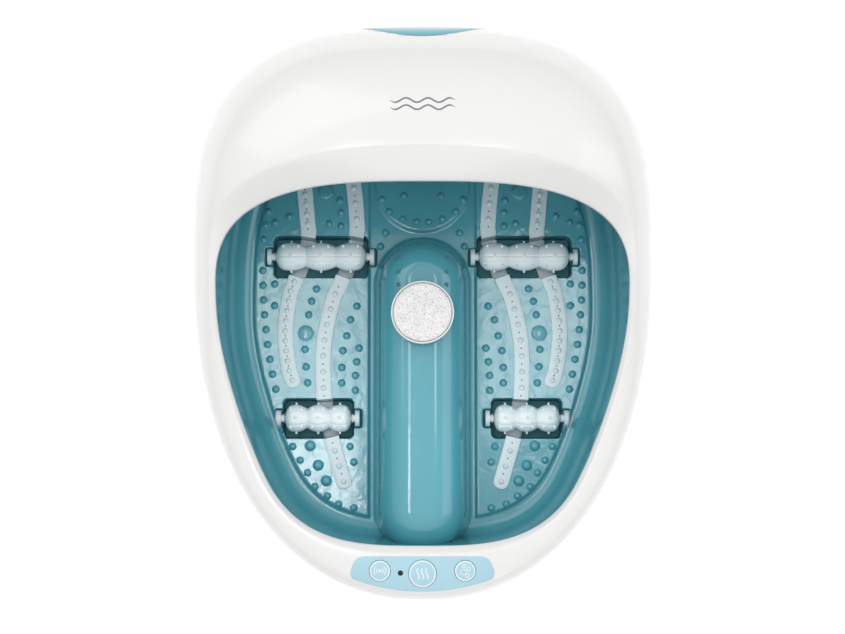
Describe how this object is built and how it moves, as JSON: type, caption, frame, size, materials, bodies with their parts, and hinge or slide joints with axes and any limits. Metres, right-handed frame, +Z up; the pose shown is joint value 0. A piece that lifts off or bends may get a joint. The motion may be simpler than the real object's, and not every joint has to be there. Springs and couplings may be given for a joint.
{
  "type": "foot spa basin",
  "caption": "Foot spa basin with two textured foot beds, massage rollers, bubble strips, a pumice head on the centre ridge and push buttons.",
  "frame": {"origin": "on the table under the middle of the bounding box", "axes": "+X towards the right foot, +Y from the control panel to the hood, +Z up"},
  "size_m": [0.356, 0.4384, 0.208],
  "materials": {
    "white_shell": "glossy white moulding",
    "teal_tub": "glossy deep teal moulding",
    "pale_blue": "satin pale blue-white",
    "panel_blue": "satin pale blue print",
    "pumice": "rough porous grey",
    "white_trim": "glossy white",
    "lens": "dark smoked lens",
    "grey_base": "matte light grey",
    "black_rubber": "matte black",
    "dark_plastic": "matte dark grey",
    "steel": "brushed",
    "alu": "satin",
    "board_green": "circuit board",
    "motor_can": "plated can",
    "hose": "translucent grey"
  },
  "bodies": {
    "spa": {"top_cover": "white_shell", "control_panel_overlay": "panel_blue", "indicator_lens": "lens", "panel_board": "board_green", "tact_switch_massage": "dark_plastic", "tact_switch_heat": "dark_plastic", "tact_switch_bubbles": "dark_plastic", "basin": "teal_tub", "air_strip_outer_left": "pale_blue", "air_strip_outer_right": "pale_blue", "air_strip_inner_left": "pale_blue", "air_strip_inner_right": "pale_blue", "roller_axle_rear_left": "pale_blue", "roller_axle_rear_right": "pale_blue", "roller_axle_front_left": "pale_blue", "roller_axle_front_right": "pale_blue", "pedicure_socket": "white_trim", "carry_handle": "teal_tub", "lower_housing": "white_shell", "base_plate": "grey_base", "housing_screw_1": "steel", "housing_screw_2": "steel", "housing_screw_3": "steel", "housing_screw_4": "steel", "foot_rear_left": "black_rubber", "foot_rear_right": "black_rubber", "foot_front_left": "black_rubber", "foot_front_right": "black_rubber", "cord_gland": "dark_plastic", "heater_plate_left": "alu", "heater_plate_right": "alu", "thermostat": "dark_plastic", "blower_housing": "dark_plastic", "blower_motor": "motor_can", "air_hose": "hose", "air_manifold": "dark_plastic", "vibration_motor": "motor_can", "motor_bracket": "dark_plastic", "power_board": "board_green"},
    "massage_button": {"button_massage": "panel_blue"},
    "heat_button": {"button_heat": "panel_blue"},
    "bubbles_button": {"button_bubbles": "panel_blue"},
    "roller_rl": {"roller_rear_left": "pale_blue"},
    "roller_rr": {"roller_rear_right": "pale_blue"},
    "roller_fl": {"roller_front_left": "pale_blue"},
    "roller_fr": {"roller_front_right": "pale_blue"},
    "pedicure_head": {"pumice_holder": "white_trim", "pumice_stone": "pumice"},
    "impeller": {"blower_impeller": "dark_plastic"},
    "shaker_weight": {"eccentric_weight": "steel"}
  },
  "joints": [
    {"name": "massage_press", "type": "slide", "parent": "spa", "child": "massage_button", "axis": [0, 0.1219, -0.9925], "range_m": [0, 0.001], "stiffness_N_per_m": 500, "springref_m": -0.002},
    {"name": "heat_press", "type": "slide", "parent": "spa", "child": "heat_button", "axis": [0, 0.1219, -0.9925], "range_m": [0, 0.001], "stiffness_N_per_m": 500, "springref_m": -0.002},
    {"name": "bubbles_press", "type": "slide", "parent": "spa", "child": "bubbles_button", "axis": [0, 0.1219, -0.9925], "range_m": [0, 0.001], "stiffness_N_per_m": 500, "springref_m": -0.002},
    {"name": "roller_rear_left_spin", "type": "hinge", "parent": "spa", "child": "roller_rl", "pos_m": [-0.082, 0.053, 0.048], "axis": [1, 0, 0], "continuous": true},
    {"name": "roller_rear_right_spin", "type": "hinge", "parent": "spa", "child": "roller_rr", "pos_m": [0.082, 0.053, 0.048], "axis": [1, 0, 0], "continuous": true},
    {"name": "roller_front_left_spin", "type": "hinge", "parent": "spa", "child": "roller_fl", "pos_m": [-0.0836, -0.0775, 0.048], "axis": [1, 0, 0], "continuous": true},
    {"name": "roller_front_right_spin", "type": "hinge", "parent": "spa", "child": "roller_fr", "pos_m": [0.0836, -0.0775, 0.048], "axis": [1, 0, 0], "continuous": true},
    {"name": "pedicure_head_lift", "type": "slide", "parent": "spa", "child": "pedicure_head", "axis": [0, 0, 1], "range_m": [0, 0.04]},
    {"name": "impeller_spin", "type": "hinge", "parent": "spa", "child": "impeller", "pos_m": [0, -0.085, 0.02], "axis": [0, 0, 1], "continuous": true},
    {"name": "shaker_spin", "type": "hinge", "parent": "spa", "child": "shaker_weight", "pos_m": [0.022, 0.112, 0.0215], "axis": [1, 0, 0], "continuous": true}
  ]
}
